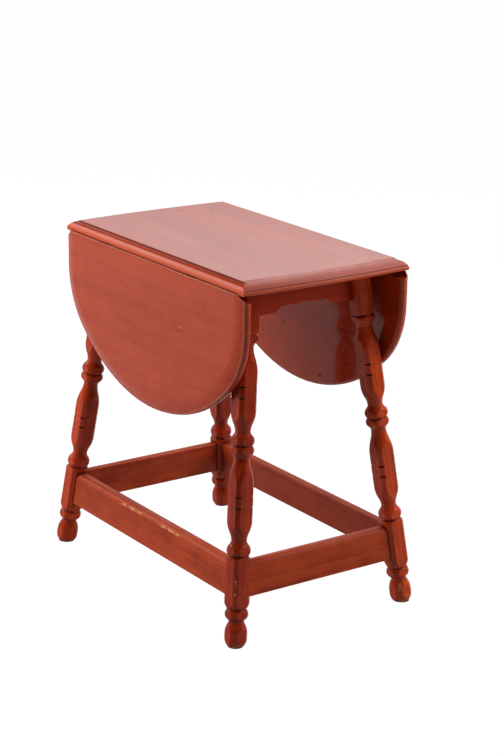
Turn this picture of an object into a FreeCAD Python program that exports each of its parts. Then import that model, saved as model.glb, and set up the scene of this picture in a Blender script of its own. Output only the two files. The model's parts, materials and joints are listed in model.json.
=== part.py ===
import FreeCAD, Part
import math
import os

# Drop-leaf table on four splayed, turned and chamfered legs, leaves hanging, in millimetres.
# The hinge lines run along X, the leaves hang at -Y (front) and +Y (back), the floor is at Z zero.

# Whole table
table_height = 600.0
top_length = 545.0
top_width = 327.5
top_thickness = 18.5
end_bow = 7.0

# Rule joint between the centre top and each leaf
rule_fillet = 2.5
rule_gap = 1.1

# Moulding run round the ends of the top and the free edge of the leaves
roll_width = 23.0
top_roll_drop = 9.0
leaf_roll_drop = 4.5
roll_lead = 0.05
ledge_width = 2.2
quirk_drop = 2.0
nose_depth = 2.3
nose_undercut = 4.0
nose_crown_share = 0.42

# Leaves
leaf_drop = 257.0
leaf_shoulder = 60.0
leaf_corner_radius = 147.0
leaf_overhang = 1.0

# Leg stance and blank
leg_inset_x = 68.9
leg_inset_y = 55.6
splay_angle_x = 7.0
splay_angle_y = 6.3
leg_blank = 34.0
leg_chamfer = 5.7

# Leg turning, from the floor up
foot_pad_radius = 13.0
ball_height = 39.5
ball_radius = 18.6
ball_heel_height = 14.0
ball_crown_height = 18.5
foot_neck_height = 4.0
foot_neck_radius = 12.8
foot_ring_height = 18.0
foot_ring_radius = 19.2
low_block_height = 87.5
low_ring_height = 19.0
ring_taper_height = 5.0
mid_lower_ring_height = 14.8
mid_upper_ring_height = 16.7
high_ring_height = 13.5
top_block_height = 81.9
low_baluster_share = 0.497
ring_radius = 19.6
ring_shoulder_radius = 15.3
groove_radius = 15.6
neck_radius = 12.6
low_swell_height = 37.0
high_swell_height = 46.0
swell_cove_share = 0.38
baluster_margin = 0.6
block_shoulder_height = 12.0
block_toe_height = 22.0
turning_margin = 2.2
nick_depth = 1.2
nick_width = 3.2
nick_shares = (0.412, 0.544)

# Aprons under the top
apron_thickness = 14.0
apron_setback = 18.0
apron_mid_height = 45.5
bracket_drop = 9.5
bracket_flat = 33.0
ogee_width = 24.0
finger_notch_width = 24.0
finger_notch_rise = 1.8

# Stretchers near the floor
stretcher_thickness = 20.0
stretcher_bottom = 78.5
stretcher_height = 57.6
stretcher_round = 10.0
stretcher_ease = 1.5

# Mortise and tenon joints
apron_tenon_thickness = 7.0
apron_tenon_height = 30.0
stretcher_tenon_thickness = 8.0
stretcher_tenon_height = 36.0
tenon_clearance = 0.1
mitre_gap = 0.4

# Pull-out bearers that carry the raised leaves
bearer_x = 70.0
bearer_width = 24.0
bearer_height = 20.0
bearer_end_setback = 1.0
bearer_clearance = 0.15
bearer_full_travel = 130.0
finger_groove_radius = 7.0
finger_groove_depth = 4.0
finger_groove_setback = 14.0
stop_peg_radius = 4.0
stop_peg_seat = 11.0
stop_peg_stand = 9.0

# Glue blocks and the screws that hold the top
block_length_share = 0.494
block_place_share = 0.483
block_side = 22.0
block_clearance = 0.05
top_screw_length = 32.0
top_screw_radius = 2.0
top_screw_head_radius = 3.9
top_screw_head_height = 2.6

# Table hinges
hinge_x = 125.0
plate_thickness = 1.6
plate_width = 32.0
top_plate_length = 30.0
leaf_plate_length = 48.0
knuckle_radius = 2.8
middle_knuckle_width = 12.0
knuckle_gap = 0.25
pin_radius = 1.25
pin_clearance = 0.05
recess_clearance = 0.25
plate_screw_length = 12.0
plate_screw_radius = 1.5
plate_screw_head_radius = 2.8
plate_screw_head_height = 1.8
plate_screw_spread = 20.0
top_plate_screw_reach = (11.0, 22.0)
leaf_plate_screw_reach = (22.0, 38.0)
screw_clearance = 0.05
screw_slot_width = 0.8
screw_slot_depth = 0.7

# One overrun for every cut
overrun = 5.0

# Places that follow from the sizes above
V = FreeCAD.Vector
up = V(0, 0, 1)
underside = table_height - top_thickness
pin_rise = plate_thickness + recess_clearance
pin_z = underside + pin_rise
rule_radius = table_height - rule_fillet - pin_z
pin_y = top_width / 2 - rule_radius
leaf_inner = pin_y - pin_rise
leaf_outer = leaf_inner + top_thickness
leaf_top = pin_z - rule_gap
leaf_half = top_length / 2 + leaf_overhang
leaf_bottom = pin_z - leaf_drop
lean_x = math.radians(splay_angle_x)
lean_y = math.radians(splay_angle_y)
foot_spread_x = top_length / 2 - leg_inset_x + underside * math.tan(lean_x)
foot_spread_y = top_width / 2 - leg_inset_y + underside * math.tan(lean_y)
leg_length = underside * math.sqrt(1 + math.tan(lean_x) ** 2 + math.tan(lean_y) ** 2)
reach = table_height + top_length
apron_face = leg_blank / 2 - apron_setback
apron_back = apron_face - apron_thickness
apron_mid_bottom = underside - apron_mid_height
block_room = top_width / 2 - leg_inset_y + apron_back
block_length = block_room * block_length_share
block_y = block_room * block_place_share
leg_corners = [(side_x, side_y) for side_x in (1, -1) for side_y in (-1, 1)]
side_names = {-1: "front", 1: "back"}
end_names = {-1: "left", 1: "right"}


def save(shape, node):
    shape.exportStep("parts/" + node + ".step")


def line(start, end):
    return Part.LineSegment(start, end).toShape()


def arc(start, middle, end):
    return Part.Arc(start, middle, end).toShape()


def face_of(edges):
    return Part.Face(Part.Wire(Part.__sortEdges__(edges)))


def polygon(points):
    return Part.Face(Part.makePolygon(points + points[:1]))


def box_between(low, high):
    size = high.sub(low)
    return Part.makeBox(size.x, size.y, size.z, low)


def cylinder_along(radius, start, end):
    run = end.sub(start)
    return Part.makeCylinder(radius, run.Length, start, run)


# Edge moulding

# Outline of the wood outside the moulding: inset runs in from the edge, depth down from the show face.
# The roll starts a hair above the face, so that it meets it in a clean edge.
def moulding_waste(point, roll_drop):
    nose_start = roll_drop + quirk_drop
    nose_crown = nose_start + (top_thickness - nose_start) * nose_crown_share
    clear = end_bow + 2 * overrun
    roll_end = nose_depth + ledge_width
    roll_start = roll_end + roll_width
    roll_fall = roll_drop + roll_lead
    roll_radius = (roll_width ** 2 + roll_fall ** 2) / (2 * roll_fall)
    half_turn = math.asin(roll_width / roll_radius) / 2
    roll_middle = point(roll_start - roll_radius * math.sin(half_turn),
                        roll_radius * (1 - math.cos(half_turn)) - roll_lead)
    edges = [arc(point(roll_start, -roll_lead), roll_middle, point(roll_end, roll_drop))]
    edges.append(line(point(roll_end, roll_drop), point(nose_depth, roll_drop)))
    edges.append(line(point(nose_depth, roll_drop), point(nose_depth, nose_start)))
    nose_end = point(nose_undercut, top_thickness)
    edges.append(arc(point(nose_depth, nose_start), point(0, nose_crown), nose_end))
    outside = [nose_end, point(nose_undercut, top_thickness + overrun),
               point(-clear, top_thickness + overrun), point(-clear, -overrun),
               point(roll_start, -overrun), point(roll_start, -roll_lead)]
    edges += [line(start, end) for start, end in zip(outside, outside[1:])]
    return face_of(edges)


# Screws

# Countersunk screw driven along a direction, with its head face at the given point.
def screw(head, direction, length, radius, head_radius, head_height):
    shank = Part.makeCylinder(radius, length, head, direction)
    cone = Part.makeCone(head_radius, radius, head_height, head, direction)
    across = V(0, 1, 0) if abs(direction.y) < abs(direction.z) else V(1, 0, 0)
    slot = cylinder_along(screw_slot_width / 2, head - across * (head_radius + overrun),
                          head + across * (head_radius + overrun))
    deep = slot.translated(direction * (screw_slot_depth - screw_slot_width / 2))
    return shank.fuse(cone).removeSplitter().cut(slot).cut(deep)


def screw_hole(head, direction, length, radius, head_radius, head_height):
    bore = Part.makeCylinder(radius + screw_clearance, length + screw_clearance, head, direction)
    sink = Part.makeCone(head_radius + screw_clearance, radius + screw_clearance,
                         head_height, head, direction)
    return bore.fuse(sink)


def plate_screw(make, head, direction):
    return make(head, direction, plate_screw_length, plate_screw_radius,
                plate_screw_head_radius, plate_screw_head_height)


# Hinges, drawn for the front edge and mirrored to the back edge

def knuckle(x_low, x_high, radius):
    return cylinder_along(radius, V(x_low, -pin_y, pin_z), V(x_high, -pin_y, pin_z))


def hinge_spans(x):
    low = x - plate_width / 2
    high = x + plate_width / 2
    mid_low = x - middle_knuckle_width / 2
    mid_high = x + middle_knuckle_width / 2
    return low, mid_low, mid_high, high


def top_screw_points(x):
    near, far = top_plate_screw_reach
    places = [(x, near), (x - plate_screw_spread / 2, far), (x + plate_screw_spread / 2, far)]
    return [V(place_x, -pin_y + inset, underside) for place_x, inset in places]


def leaf_screw_points(x):
    near, far = leaf_plate_screw_reach
    places = [(x, near), (x - plate_screw_spread / 2, far), (x + plate_screw_spread / 2, far)]
    return [V(place_x, -leaf_inner, pin_z - drop) for place_x, drop in places]


def hinge_top_plate(x):
    low, mid_low, mid_high, high = hinge_spans(x)
    plate = box_between(V(low, -pin_y, underside),
                        V(high, -pin_y + top_plate_length, underside + plate_thickness))
    plate = plate.fuse([knuckle(low, mid_low - knuckle_gap, knuckle_radius),
                        knuckle(mid_high + knuckle_gap, high, knuckle_radius)])
    plate = plate.cut(knuckle(mid_low - knuckle_gap, mid_high + knuckle_gap,
                              knuckle_radius + recess_clearance))
    plate = plate.cut(knuckle(low - overrun, high + overrun, pin_radius + pin_clearance))
    for point in top_screw_points(x):
        plate = plate.cut(plate_screw(screw_hole, point, up))
    return plate


def hinge_leaf_plate(x):
    low, mid_low, mid_high, high = hinge_spans(x)
    plate = box_between(V(low, -leaf_inner - plate_thickness, pin_z - leaf_plate_length),
                        V(high, -leaf_inner, pin_z))
    plate = plate.fuse(knuckle(mid_low, mid_high, knuckle_radius))
    free = knuckle_radius + recess_clearance
    plate = plate.cut([knuckle(low - overrun, mid_low, free), knuckle(mid_high, high + overrun, free)])
    plate = plate.cut(knuckle(low - overrun, high + overrun, pin_radius + pin_clearance))
    for point in leaf_screw_points(x):
        plate = plate.cut(plate_screw(screw_hole, point, V(0, -1, 0)))
    return plate


def hinge_pin(x):
    low, mid_low, mid_high, high = hinge_spans(x)
    return knuckle(low, high, pin_radius)


# Room under the top for one hinge: plate recess, knuckle groove, and the path of the leaf plate.
def hinge_recess(x):
    low, mid_low, mid_high, high = hinge_spans(x)
    recess = box_between(V(low - recess_clearance, -pin_y, underside - overrun),
                         V(high + recess_clearance, -pin_y + top_plate_length + recess_clearance,
                           underside + plate_thickness))
    swing = box_between(V(low - recess_clearance, -pin_y - rule_radius - overrun, underside - overrun),
                        V(high + recess_clearance, -pin_y, pin_z))
    groove = knuckle(low - recess_clearance, high + recess_clearance, knuckle_radius + recess_clearance)
    room = recess.fuse([swing, groove])
    for point in top_screw_points(x):
        room = room.fuse(plate_screw(screw_hole, point, up))
    return room


# Room in the leaf's inner face for one hinge plate and its screws.
def leaf_recess(x):
    low, mid_low, mid_high, high = hinge_spans(x)
    room = box_between(V(low - recess_clearance, -leaf_inner - plate_thickness,
                         pin_z - leaf_plate_length - recess_clearance),
                       V(high + recess_clearance, -leaf_inner + overrun, pin_z))
    for point in leaf_screw_points(x):
        room = room.fuse(plate_screw(screw_hole, point, V(0, -1, 0)))
    return room


def mirrored(shape):
    return shape.mirror(V(0, 0, 0), V(0, 1, 0))


# Centre top

def top_section():
    edge_y = pin_y + rule_radius
    bend = rule_radius * math.sqrt(1 / 2)

    def edge_of(side):
        foot = V(0, side * edge_y, underside)
        hip = V(0, side * edge_y, pin_z)
        bulge = V(0, side * (pin_y + bend), pin_z + bend)
        shoulder = V(0, side * pin_y, pin_z + rule_radius)
        arris = V(0, side * pin_y, table_height)
        return foot, arris, [line(foot, hip), arc(hip, bulge, shoulder), line(shoulder, arris)]

    front_foot, front_arris, front_edges = edge_of(-1)
    back_foot, back_arris, back_edges = edge_of(1)
    across = [line(front_arris, back_arris), line(back_foot, front_foot)]
    return face_of(front_edges + back_edges + across)


# The ends are bowed a little in plan, so their moulding turns about a far upright axis.
def end_moulding_cutter(side):
    half_chord = top_width / 2
    bow_radius = (half_chord ** 2 + end_bow ** 2) / (2 * end_bow)
    sweep = 2 * math.asin((half_chord + overrun) / bow_radius)
    centre = V(side * (top_length / 2 + end_bow - bow_radius), 0, 0)

    def point(inset, depth):
        out = side * (bow_radius - inset)
        return centre + V(out * math.cos(sweep / 2), -out * math.sin(sweep / 2), table_height - depth)

    return moulding_waste(point, top_roll_drop).revolve(centre, up, math.degrees(sweep)).toNurbs()


def centre_top():
    half = top_length / 2 + end_bow + overrun
    board = top_section().translated(V(-half, 0, 0)).extrude(V(2 * half, 0, 0))
    board = board.cut([end_moulding_cutter(1), end_moulding_cutter(-1)])
    for x in (-hinge_x, hinge_x):
        room = hinge_recess(x)
        board = board.cut([room, mirrored(room)])
    return board.cut([block_screw(screw_hole, side_x, side_y) for side_x, side_y in leg_corners])


# Leaves, drawn at the front and mirrored to the back

# Circle centres and the join of the two curves of a leaf's outline, as (x, z) pairs.
def leaf_curves():
    corner = leaf_corner_radius
    rise = pin_z - leaf_shoulder - leaf_bottom
    run = leaf_half - corner
    belly = (run ** 2 + rise ** 2 - corner ** 2) / (2 * (rise - corner))
    corner_z = pin_z - leaf_shoulder
    belly_z = leaf_bottom + belly
    turn = math.atan2(run, belly_z - corner_z)
    return corner_z, run, belly, belly_z, turn


# Blank of a leaf, larger than the moulded edge by the overrun.
def leaf_blank(y):
    corner_z, run, belly, belly_z, turn = leaf_curves()
    half_length = leaf_half + overrun
    corner = leaf_corner_radius + overrun
    belly += overrun

    def at(x, z):
        return V(x, y, z)

    edges = [line(at(-half_length, leaf_top), at(half_length, leaf_top))]
    edges.append(arc(at(-belly * math.sin(turn), belly_z - belly * math.cos(turn)),
                     at(0, belly_z - belly),
                     at(belly * math.sin(turn), belly_z - belly * math.cos(turn))))
    half = (turn + math.pi / 2) / 2
    for side in (-1, 1):
        start = at(side * half_length, corner_z)
        edges.append(line(at(side * half_length, leaf_top), start))
        middle = at(side * (run + corner * math.sin(half)), corner_z - corner * math.cos(half))
        end = at(side * belly * math.sin(turn), belly_z - belly * math.cos(turn))
        edges.append(arc(start, middle, end))
    return face_of(edges)


# The moulding's waste along the straight shoulders, round the corners and round the belly.
def leaf_moulding_cutters():
    corner_z, run, belly, belly_z, turn = leaf_curves()
    cutters = []
    for side in (-1, 1):
        def point(inset, depth):
            return V(side * (leaf_half - inset), -leaf_outer + depth, corner_z)

        waste = moulding_waste(point, leaf_roll_drop)
        cutters.append(waste.extrude(V(0, 0, leaf_shoulder + overrun)))
        quarter = math.degrees(math.pi / 2 - turn)
        cutters.append(waste.revolve(V(side * run, 0, corner_z), V(0, side, 0), quarter).toNurbs())

    def belly_point(inset, depth):
        out = belly - inset
        return V(out * math.sin(turn), -leaf_outer + depth, belly_z - out * math.cos(turn))

    waste = moulding_waste(belly_point, leaf_roll_drop)
    cutters.append(waste.revolve(V(0, 0, belly_z), V(0, 1, 0), math.degrees(2 * turn)).toNurbs())
    return cutters


def leaf():
    board = leaf_blank(-leaf_outer).extrude(V(0, top_thickness, 0))
    cove = cylinder_along(rule_radius + rule_gap, V(-reach, -pin_y, pin_z), V(reach, -pin_y, pin_z))
    board = board.cut(cove)
    board = board.cut(leaf_moulding_cutters())
    return board.cut([leaf_recess(x) for x in (-hinge_x, hinge_x)])


# Legs

# Arc that leaves one end upright and runs to the other end, as (radius, height) pairs.
def upright_arc(upright_end, free_end):
    out = free_end[0] - upright_end[0]
    climb = free_end[1] - upright_end[1]
    radius = (out ** 2 + climb ** 2) / (2 * abs(out))
    half = math.asin(abs(climb) / radius) / 2
    middle = (upright_end[0] + math.copysign(radius * (1 - math.cos(half)), out),
              upright_end[1] + math.copysign(radius * math.sin(half), climb))
    return upright_end, middle, free_end


# Swelling curve, upright at both ends, from a neck to the full girth.
def swell(start, end):
    middle = tuple(low + (high - low) * swell_cove_share for low, high in zip(start, end))
    return [upright_arc(start, middle), upright_arc(end, middle)]


def baluster(start_radius, start, height, end_radius, girth):
    end = start + height
    full_low = (girth, start + low_swell_height)
    full_high = (girth, end - high_swell_height)
    return (swell((start_radius, start), full_low) + [(full_low, full_high)]
            + swell((end_radius, end), full_high))


def barrel(start_radius, start, height, end_radius, girth, low_rise, high_rise):
    full_low = (girth, start + low_rise)
    full_high = (girth, start + height - high_rise)
    return [upright_arc(full_low, (start_radius, start)), (full_low, full_high),
            upright_arc(full_high, (end_radius, start + height))]


def ball(start_radius, start, height, end_radius, girth):
    return barrel(start_radius, start, height, end_radius, girth, ball_heel_height, ball_crown_height)


def low_block(start_radius, start, height, end_radius, girth):
    return barrel(start_radius, start, height, end_radius, girth, block_toe_height, block_shoulder_height)


def top_block(start_radius, start, height, end_radius, girth):
    return barrel(start_radius, start, height, end_radius, girth, block_shoulder_height, block_shoulder_height)


def ring(start_radius, start, height, end_radius, girth):
    return [((start_radius, start), (girth, start + height / 2), (end_radius, start + height))]


def taper(start_radius, start, height, end_radius, girth):
    return [((start_radius, start), (end_radius, start + height))]


# The two balusters share the length that the other members leave.
def baluster_heights():
    foot = ball_height + foot_neck_height + foot_ring_height + low_block_height
    rings = low_ring_height + mid_lower_ring_height + mid_upper_ring_height + high_ring_height
    run = leg_length - foot - rings - 4 * ring_taper_height - top_block_height
    return run * low_baluster_share, run * (1 - low_baluster_share)


# The turning's members from the floor up: form, height, radius at the upper end, girth.
# The top block runs on past the top's underside, where the leg is cut level.
def turning_members():
    full = chamfer_distance() + turning_margin
    swelled = chamfer_distance() + baluster_margin
    low_baluster_height, high_baluster_height = baluster_heights()
    members = [(ball, ball_height, foot_neck_radius, ball_radius)]
    members.append((taper, foot_neck_height, foot_neck_radius, foot_neck_radius))
    members.append((ring, foot_ring_height, groove_radius, foot_ring_radius))
    members.append((low_block, low_block_height, groove_radius, full))
    members.append((ring, low_ring_height, ring_shoulder_radius, ring_radius))
    members.append((taper, ring_taper_height, neck_radius, neck_radius))
    members.append((baluster, low_baluster_height, neck_radius, swelled))
    members.append((taper, ring_taper_height, ring_shoulder_radius, neck_radius))
    members.append((ring, mid_lower_ring_height, groove_radius, ring_radius))
    members.append((ring, mid_upper_ring_height, ring_shoulder_radius, ring_radius))
    members.append((taper, ring_taper_height, neck_radius, neck_radius))
    members.append((baluster, high_baluster_height, neck_radius, swelled))
    members.append((taper, ring_taper_height, ring_shoulder_radius, neck_radius))
    members.append((ring, high_ring_height, groove_radius, ring_radius))
    members.append((top_block, top_block_height + leg_blank, groove_radius, full))
    return members


def turned_solid():
    height = 0.0
    radius = foot_pad_radius
    runs = [((0, -overrun), (radius, -overrun)), ((radius, -overrun), (radius, 0))]
    nick_heights = []
    for form, rise, end_radius, girth in turning_members():
        if form is baluster:
            nick_heights += [height + rise * share for share in nick_shares]
        runs += form(radius, height, rise, end_radius, girth)
        height += rise
        radius = end_radius
    runs += [((radius, height), (0, height)), ((0, height), (0, -overrun))]
    edges = []
    for run in runs:
        points = [V(out, 0, along) for out, along in run]
        edges.append(line(*points) if len(points) == 2 else arc(*points))
    solid = face_of(edges).revolve(V(0, 0, 0), up, math.degrees(2 * math.pi))
    return solid, nick_heights


# Distance from the leg's axis to the chamfers of its corners.
def chamfer_distance():
    middle = (leg_blank - leg_chamfer) / 2
    return math.hypot(middle, middle)


# Straight V nicks across the four chamfered corners at one height.
def corner_nicks(height):
    tip = chamfer_distance() - nick_depth
    outer = tip + leg_blank / 2
    flare = nick_width / 2 / nick_depth * (outer - tip)
    points = [V(tip, -leg_blank, height), V(outer, -leg_blank, height - flare),
              V(outer, -leg_blank, height + flare)]
    wedge = polygon(points).extrude(V(0, 2 * leg_blank, 0))
    turns = [math.degrees(math.atan2(side_y, side_x)) for side_x, side_y in leg_corners]
    return [wedge.rotated(V(0, 0, 0), up, turn) for turn in turns]


def blank_prism(half, chamfer):
    flat = half - chamfer
    corners = [(half, -flat), (half, flat), (flat, half), (-flat, half),
               (-half, flat), (-half, -flat), (-flat, -half), (flat, -half)]
    outline = polygon([V(x, y, -overrun) for x, y in corners])
    return outline.extrude(up * reach)


# Place a shape drawn about an upright leg axis on the leaning leg of one corner.
def on_leg(shape, side_x, side_y):
    axis = V(-side_x * math.tan(lean_x), -side_y * math.tan(lean_y), 1)
    foot = V(side_x * foot_spread_x, side_y * foot_spread_y, 0)
    placed = shape.copy()
    placed.Placement = FreeCAD.Placement(foot, FreeCAD.Rotation(up, axis))
    return placed


def turned_leg():
    solid, nick_heights = turned_solid()
    upright = solid.common(blank_prism(leg_blank / 2, leg_chamfer))
    for height in nick_heights:
        upright = upright.cut(corner_nicks(height))
    return upright


# Space between two legs on the inner side of a leg's face: along Y for end rails, along X for side rails.
def inside_of(side_x, side_y, along_y):
    half = leg_blank / 2
    if along_y:
        low = V(-reach, half if side_y < 0 else -reach, -reach)
        high = V(reach, reach if side_y < 0 else -half, reach)
    else:
        low = V(half if side_x < 0 else -reach, -reach, -reach)
        high = V(reach if side_x < 0 else -half, reach, reach)
    return on_leg(box_between(low, high), side_x, side_y)


# Space on one side of the diagonal plane where the two tenons of a leg meet.
def mitre_space(side_x, side_y, along_y, gap):
    if along_y:
        inward = [(-reach, -reach + gap), (reach, reach + gap), (-reach, reach + gap)]
    else:
        inward = [(-reach + gap, -reach), (reach + gap, reach), (reach + gap, -reach)]
    points = [V(-side_x * run_x, -side_y * run_y, -reach) for run_x, run_y in inward]
    return on_leg(polygon(points).extrude(up * (reach + reach)), side_x, side_y)


# Rails

# Place a shape drawn as (along, outward, up the slope) in the leaning plane of two leg axes.
def on_panel(shape, along_y, side):
    lean = lean_x if along_y else lean_y
    spread = foot_spread_x if along_y else foot_spread_y
    out = V(side * math.cos(lean), 0, math.sin(lean))
    climb = V(-side * math.sin(lean), 0, math.cos(lean))
    origin = V(side * spread, 0, 0)
    if not along_y:
        out, climb, origin = [V(0, vector.x, vector.z) for vector in (out, climb, origin)]
    along = out.cross(climb)
    matrix = FreeCAD.Matrix(along.x, out.x, climb.x, origin.x,
                            along.y, out.y, climb.y, origin.y,
                            along.z, out.z, climb.z, origin.z)
    placed = shape.copy()
    placed.Placement = FreeCAD.Placement(matrix)
    return placed


def panel_height(z, along_y):
    return z / math.cos(lean_x if along_y else lean_y)


# Half the clear span between the two legs of a panel, at a height.
def half_span(z, along_y):
    spread, lean = (foot_spread_y, lean_y) if along_y else (foot_spread_x, lean_x)
    return spread - z * math.tan(lean) - leg_blank / 2


def panel_box(half_length, out_low, out_high, low, high):
    return box_between(V(-half_length, out_low, low), V(half_length, out_high, high))


# Shouldered rail: board between the legs, tenons mitred inside them.
def rail(board, tenon, along_y, side):
    ends = [(side, -1), (side, 1)] if along_y else [(-1, side), (1, side)]
    for side_x, side_y in ends:
        board = board.common(inside_of(side_x, side_y, along_y))
        tenon = tenon.common(mitre_space(side_x, side_y, along_y, mitre_gap))
    return board.fuse(tenon).removeSplitter()


def below_top(shape):
    ceiling = box_between(V(-reach, -reach, underside), V(reach, reach, reach))
    return shape.cut(ceiling)


def apron_tenon(along_y, side, grow):
    middle = (apron_face + apron_back) / 2
    half = apron_tenon_thickness / 2 + grow
    centre = (apron_mid_bottom + underside) / 2
    low = panel_height(centre - apron_tenon_height / 2, along_y) - grow
    high = panel_height(centre + apron_tenon_height / 2, along_y) + grow
    return on_panel(panel_box(reach / 2, middle - half, middle + half, low, high), along_y, side)


def stretcher_tenon(along_y, side, grow):
    half = stretcher_tenon_thickness / 2 + grow
    centre = stretcher_bottom + stretcher_height / 2
    low = panel_height(centre - stretcher_tenon_height / 2, along_y) - grow
    high = panel_height(centre + stretcher_tenon_height / 2, along_y) + grow
    return on_panel(panel_box(reach / 2, -half, half, low, high), along_y, side)


# Apron board with a bracket at each end, an ogee beside it and a shallow finger notch in the middle.
def apron_board(along_y):
    low = panel_height(apron_mid_bottom, along_y)
    foot = low - bracket_drop
    high = panel_height(table_height, along_y)
    span = half_span(apron_mid_bottom, along_y)
    flat = span - bracket_flat
    inner = flat - ogee_width
    notch = finger_notch_width / 2

    def at(along, climb):
        return V(along, apron_back, climb)

    def ogee(start, end):
        middle = ((start[0] + end[0]) / 2, (start[1] + end[1]) / 2)
        halves = []
        for level_end in (start, end):
            upright = upright_arc((level_end[1], level_end[0]), (middle[1], middle[0]))
            halves.append(arc(*[at(along, climb) for climb, along in upright]))
        return halves

    edges = [arc(at(-notch, low), at(0, low + finger_notch_rise), at(notch, low))]
    for side in (-1, 1):
        edges.append(line(at(side * notch, low), at(side * inner, low)))
        edges += ogee((side * inner, low), (side * flat, foot))
        edges.append(line(at(side * flat, foot), at(side * reach / 2, foot)))
        edges.append(line(at(side * reach / 2, foot), at(side * reach / 2, high)))
    edges.append(line(at(-reach / 2, high), at(reach / 2, high)))
    return face_of(edges).extrude(V(0, apron_thickness, 0))


def apron(along_y, side):
    board = on_panel(apron_board(along_y), along_y, side)
    shaped = below_top(rail(board, apron_tenon(along_y, side, 0), along_y, side))
    if not along_y:
        shaped = shaped.cut([bearer_notch(side_of) for side_of in (-1, 1)])
    return shaped


# Stretcher section: upper outer edge rounded over, upper inner arris eased.
def stretcher_board(along_y):
    half = stretcher_thickness / 2
    low = panel_height(stretcher_bottom, along_y)
    high = low + stretcher_height

    def at(out, climb):
        return V(-reach / 2, out, climb)

    bend = stretcher_round * (1 - math.sqrt(1 / 2))
    start = at(half, high - stretcher_round)
    end = at(half - stretcher_round, high)
    edges = [arc(start, at(half - bend, high - bend), end)]
    corners = [end, at(-half + stretcher_ease, high), at(-half, high - stretcher_ease),
               at(-half, low), at(half, low), start]
    edges += [line(first, second) for first, second in zip(corners, corners[1:])]
    return face_of(edges).extrude(V(reach, 0, 0))


def stretcher(along_y, side):
    board = on_panel(stretcher_board(along_y), along_y, side)
    return rail(board, stretcher_tenon(along_y, side, 0), along_y, side)


def leg(side_x, side_y, upright):
    shaped = below_top(on_leg(upright, side_x, side_y))
    floor = box_between(V(-reach, -reach, -reach), V(reach, reach, 0))
    shaped = shaped.cut(floor)
    for along_y, side in ((True, side_x), (False, side_y)):
        space = mitre_space(side_x, side_y, along_y, 0)
        for tenon in (apron_tenon, stretcher_tenon):
            shaped = shaped.cut(tenon(along_y, side, tenon_clearance).common(space))
    return shaped


# Bearers: each slides out through a notch in one side apron, and its tail rides in the other

def bearer_half_length():
    return foot_spread_y - underside * math.tan(lean_y) + apron_face - bearer_end_setback


def bearer_top():
    return underside - bearer_clearance


def bearer_notch(side):
    half = bearer_width / 2 + bearer_clearance
    low = bearer_top() - bearer_height - bearer_clearance
    place = -side * bearer_x
    return box_between(V(place - half, -reach, low), V(place + half, reach, underside + overrun))


def stop_peg_y(side):
    return side * (bearer_half_length() - apron_thickness - bearer_full_travel)


def bearer(side):
    half = bearer_width / 2
    low = bearer_top() - bearer_height
    length = bearer_half_length()
    place = -side * bearer_x
    bar = box_between(V(place - half, -length, low), V(place + half, length, bearer_top()))
    groove_y = side * (length - finger_groove_setback)
    groove_z = low + finger_groove_depth - finger_groove_radius
    groove = cylinder_along(finger_groove_radius, V(place - bearer_width, groove_y, groove_z),
                            V(place + bearer_width, groove_y, groove_z))
    hole = Part.makeCylinder(stop_peg_radius + screw_clearance, stop_peg_seat + overrun,
                             V(place, stop_peg_y(side), low - overrun))
    return bar.cut([groove, hole])


def bearer_stop(side):
    low = bearer_top() - bearer_height - stop_peg_stand
    return Part.makeCylinder(stop_peg_radius, stop_peg_stand + stop_peg_seat,
                             V(-side * bearer_x, stop_peg_y(side), low))


# Glue blocks behind the end aprons

def block_screw(make, side_x, side_y):
    high = panel_height(underside, True)
    out = apron_back - block_side / 2
    spot = on_panel(Part.Vertex(V(0, out, high - block_side)), True, side_x).Point
    head = V(spot.x, side_y * block_y, spot.z)
    return make(head, up, top_screw_length, top_screw_radius, top_screw_head_radius, top_screw_head_height)


def glue_block(side_x, side_y):
    high = panel_height(table_height, True)
    low = panel_height(underside, True) - block_side
    back = apron_back - block_clearance
    bar = box_between(V(-block_length / 2, back - block_side, low), V(block_length / 2, back, high))
    bar = below_top(on_panel(bar, True, side_x).translated(V(0, side_y * block_y, 0)))
    return bar.cut(block_screw(screw_hole, side_x, side_y))


# Build and save every piece

os.makedirs("parts", exist_ok=True)
save(centre_top(), "centre_top")
upright_leg = turned_leg()
for side_x, side_y in leg_corners:
    corner = side_names[side_y] + "_" + end_names[side_x]
    save(leg(side_x, side_y, upright_leg), "leg_" + corner)
    save(glue_block(side_x, side_y), "glue_block_" + corner)

for side in (-1, 1):
    save(apron(True, side), "end_apron_" + end_names[side])
    save(apron(False, side), "side_apron_" + side_names[side])
    save(stretcher(True, side), "end_stretcher_" + end_names[side])
    save(stretcher(False, side), "side_stretcher_" + side_names[side])
    save(bearer(side), "bearer_" + side_names[side])
    save(bearer_stop(side), "bearer_stop_" + side_names[side])

front_leaf = leaf()
for side in (-1, 1):
    def at_side(shape):
        return shape if side < 0 else mirrored(shape)

    save(at_side(front_leaf), "leaf_" + side_names[side])
    leaf_screws = []
    for end in (-1, 1):
        x = end * hinge_x
        hinge = side_names[side] + "_" + end_names[end]
        save(at_side(hinge_top_plate(x)), "hinge_top_plate_" + hinge)
        save(at_side(hinge_leaf_plate(x)), "hinge_leaf_plate_" + hinge)
        save(at_side(hinge_pin(x)), "hinge_pin_" + hinge)
        leaf_screws += [at_side(plate_screw(screw, point, V(0, -1, 0))) for point in leaf_screw_points(x)]
    save(Part.makeCompound(leaf_screws), "hinge_leaf_screws_" + side_names[side])

hinge_top_screws = []
for end in (-1, 1):
    for point in top_screw_points(end * hinge_x):
        fixed = plate_screw(screw, point, up)
        hinge_top_screws += [fixed, mirrored(fixed)]
save(Part.makeCompound(hinge_top_screws), "hinge_top_screws")
save(Part.makeCompound([block_screw(screw, side_x, side_y) for side_x, side_y in leg_corners]),
     "top_fixing_screws")
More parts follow.
